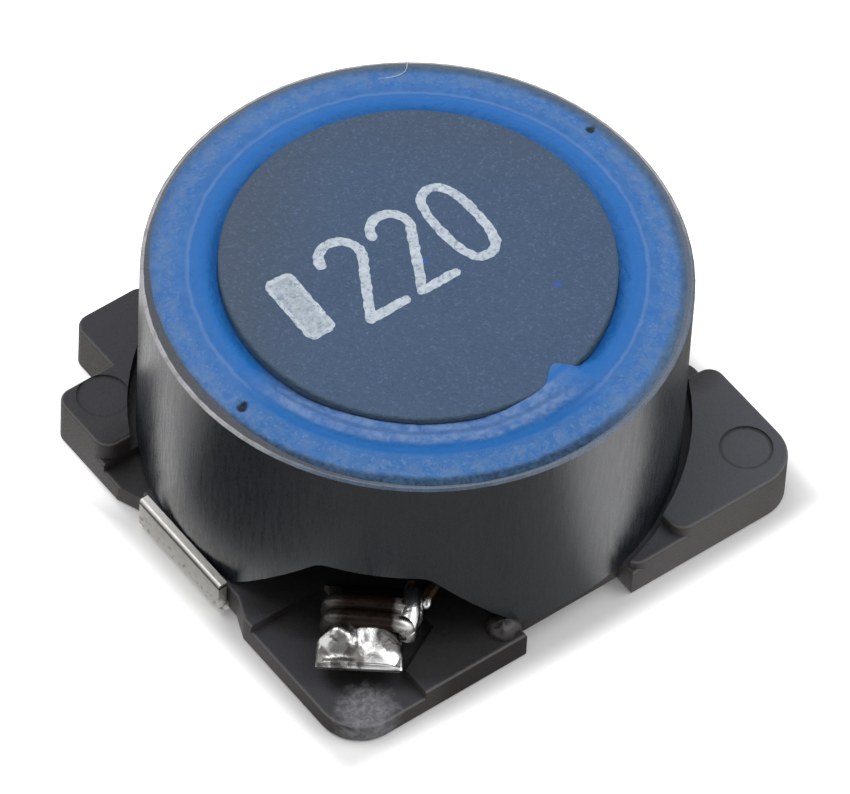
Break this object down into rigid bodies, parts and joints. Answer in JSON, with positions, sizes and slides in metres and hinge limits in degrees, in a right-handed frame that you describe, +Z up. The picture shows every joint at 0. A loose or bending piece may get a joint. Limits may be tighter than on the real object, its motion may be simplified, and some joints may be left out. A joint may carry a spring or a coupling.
{
  "type": "shielded smd inductor",
  "caption": "Shielded surface-mount power inductor: wound drum core inside a ring core, on a square moulded base with two folded terminals.",
  "frame": {"origin": "centre of the footprint at the plane of the two soldering pads", "axes": "+Z up, away from the circuit board; the two pads and side strips lie on -X and +X; the hook bays are at the corners (-X, -Y) and (+X, +Y), and the orientation notch at (-X, +Y)"},
  "size_m": [0.0126, 0.0126, 0.0063],
  "materials": {
    "base_moulding": "dark grey moulded resin with a fine matte grain",
    "terminal_tin": "tin-plated copper alloy sheet, satin",
    "ring_ferrite": "sintered ferrite, dark grey, satin with a fine ground grain",
    "core_ferrite": "sintered ferrite, slate grey, dull with fine light specks",
    "enamelled_copper": "enamelled copper wire, glossy",
    "blue_adhesive": "blue translucent resin, wavy and milky on top",
    "clear_adhesive": "clear resin over the dark base",
    "solder": "bright solder with dull patches"
  },
  "bodies": {
    "root": {"terminal_base": "base_moulding", "terminal_left": "terminal_tin", "terminal_right": "terminal_tin", "ring_core": "ring_ferrite", "drum_core": "core_ferrite", "winding": "enamelled_copper", "adhesive_bead": "blue_adhesive", "ring_adhesive": "clear_adhesive", "solder_left": "solder", "solder_right": "solder"}
  },
  "joints": []
}
